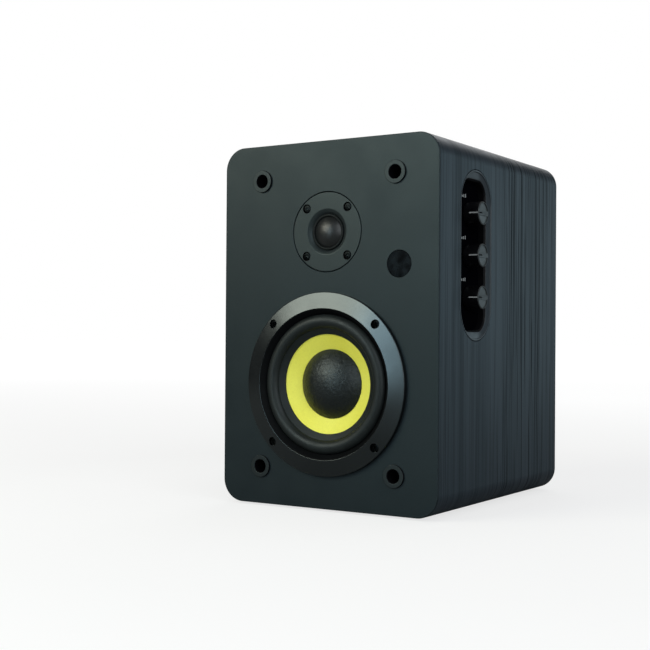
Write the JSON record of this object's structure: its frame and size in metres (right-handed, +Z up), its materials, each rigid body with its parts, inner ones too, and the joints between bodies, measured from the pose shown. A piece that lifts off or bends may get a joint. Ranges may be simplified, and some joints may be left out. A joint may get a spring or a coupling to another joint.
{
  "type": "bookshelf speaker",
  "caption": "Active two-way bookshelf speaker: wood-wrapped box, yellow-cone woofer, dome tweeter, side recess with turning knobs, rear amplifier plate, port and sockets.",
  "frame": {"origin": "on the floor plane, straight under the middle of the cabinet's underside, 1.5 mm below it (the height of the feet)", "axes": "+Z up; the baffle with the drivers faces -Y; the side recess with the knobs faces +X"},
  "size_m": [0.169, 0.2072, 0.2415],
  "materials": {
    "wood_wrap": "black ash foil, satin, fine grain around the tube",
    "baffle_paint": "matte charcoal, fine texture",
    "mdf": "raw fibreboard",
    "rear_black": "matte black foil",
    "rubber": "matte black rubber",
    "foam": "charcoal open-cell foam",
    "black_plastic": "fine spark texture",
    "smoke_lens": "smoky gloss",
    "board": "green solder mask",
    "tweeter_plate": "satin charcoal",
    "silk": "coated black silk",
    "ring_paint": "satin gunmetal",
    "cone_yellow": "woven lemon yellow",
    "cap_black": "crinkled black coating",
    "surround_rubber": "satin black rubber",
    "spider_cloth": "resin-dipped cloth",
    "coil_former": "thin foil",
    "copper": "enamelled copper wire",
    "steel_black": "black powder coat",
    "steel_zinc": "zinc plated",
    "ferrite": "dark ceramic",
    "screw_black": "black zinc, worn edges",
    "bezel_grey": "fine texture dark grey",
    "knob_black": "gloss black",
    "shaft_metal": "turned",
    "pot_steel": "pressed",
    "amp_paint": "fine black powder coat",
    "sink_aluminium": "extruded",
    "capacitor_sleeve": "dark sleeve",
    "transformer_iron": "varnished laminations",
    "jack_nickel": "nickel",
    "jack_red": "red",
    "jack_white": "white",
    "lever_red": "red",
    "lever_black": "black",
    "lead_jacket": "black two-core lead"
  },
  "bodies": {
    "cabinet": {"amplifier_board": "board", "amplifier_plate": "amp_paint", "amplifier_screws": "screw_black", "bass_port_tube": "black_plastic", "bass_pot": "pot_steel", "cabinet_shell": "wood_wrap", "control_bezel": "bezel_grey", "control_board": "board", "control_plate": "black_plastic", "damping_foam": "foam", "front_baffle": "baffle_paint", "grille_sockets": "black_plastic", "heat_sink": "sink_aluminium", "input_jack_insert_red": "jack_red", "input_jack_insert_white": "jack_white", "input_jack_shells": "jack_nickel", "ir_receiver_board": "board", "ir_window": "smoke_lens", "mains_inlet": "black_plastic", "pot_nuts": "steel_zinc", "rear_panel": "rear_black", "rubber_feet": "rubber", "speaker_terminal_cup": "black_plastic", "supply_capacitors": "capacitor_sleeve", "switch_housing": "black_plastic", "transformer": "transformer_iron", "treble_pot": "pot_steel", "tweeter_faceplate": "tweeter_plate", "tweeter_lead": "lead_jacket", "tweeter_magnet": "ferrite", "tweeter_screws": "screw_black", "tweeter_surround": "silk", "tweeter_top_plate": "steel_zinc", "tweeter_yoke": "steel_zinc", "volume_pot": "pot_steel", "woofer_basket": "steel_black", "woofer_gasket": "rubber", "woofer_lead": "lead_jacket", "woofer_magnet": "ferrite", "woofer_screws": "screw_black", "woofer_spider": "spider_cloth", "woofer_surround": "surround_rubber", "woofer_top_plate": "steel_zinc", "woofer_trim_ring": "ring_paint", "woofer_yoke": "steel_zinc"},
    "woofer_moving": {"woofer_cone": "cone_yellow", "woofer_dust_cap": "cap_black", "woofer_coil_former": "coil_former", "woofer_coil_winding": "copper"},
    "tweeter_moving": {"tweeter_dome": "silk", "tweeter_voice_coil": "copper"},
    "volume_control": {"volume_knob": "knob_black", "volume_shaft": "shaft_metal"},
    "treble_control": {"treble_knob": "knob_black", "treble_shaft": "shaft_metal"},
    "bass_control": {"bass_knob": "knob_black", "bass_shaft": "shaft_metal"},
    "power_switch": {"power_rocker": "knob_black"},
    "red_lever": {"terminal_lever_red": "lever_red"},
    "black_lever": {"terminal_lever_black": "lever_black"}
  },
  "joints": [
    {"name": "woofer_stroke", "type": "slide", "parent": "cabinet", "child": "woofer_moving", "axis": [0, -1, 0], "range_m": [-0.003, 0.003], "stiffness_N_per_m": 900, "deforming": ["woofer_surround", "woofer_spider"]},
    {"name": "tweeter_stroke", "type": "slide", "parent": "cabinet", "child": "tweeter_moving", "axis": [0, -1, 0], "range_m": [-0.00025, 0.00025], "stiffness_N_per_m": 1500, "deforming": ["tweeter_surround"]},
    {"name": "volume_turn", "type": "hinge", "parent": "cabinet", "child": "volume_control", "pos_m": [0.082, -0.0433, 0.1944], "axis": [1, 0, 0], "range_deg": [-150, 150]},
    {"name": "treble_turn", "type": "hinge", "parent": "cabinet", "child": "treble_control", "pos_m": [0.082, -0.0433, 0.1671], "axis": [1, 0, 0], "range_deg": [-150, 150]},
    {"name": "bass_turn", "type": "hinge", "parent": "cabinet", "child": "bass_control", "pos_m": [0.082, -0.0433, 0.1398], "axis": [1, 0, 0], "range_deg": [-150, 150]},
    {"name": "power_rock", "type": "hinge", "parent": "cabinet", "child": "power_switch", "pos_m": [0.036, 0.0945, 0.068], "axis": [1, 0, 0], "range_deg": [-16, 0]},
    {"name": "red_lever_press", "type": "hinge", "parent": "cabinet", "child": "red_lever", "pos_m": [-0.0205, 0.096, 0.061], "axis": [1, 0, 0], "range_deg": [-18, 0], "stiffness_Nm_per_rad": 0.03, "springref_deg": 5.73},
    {"name": "black_lever_press", "type": "hinge", "parent": "cabinet", "child": "black_lever", "pos_m": [-0.0395, 0.096, 0.061], "axis": [1, 0, 0], "range_deg": [-18, 0], "stiffness_Nm_per_rad": 0.03, "springref_deg": 5.73}
  ]
}
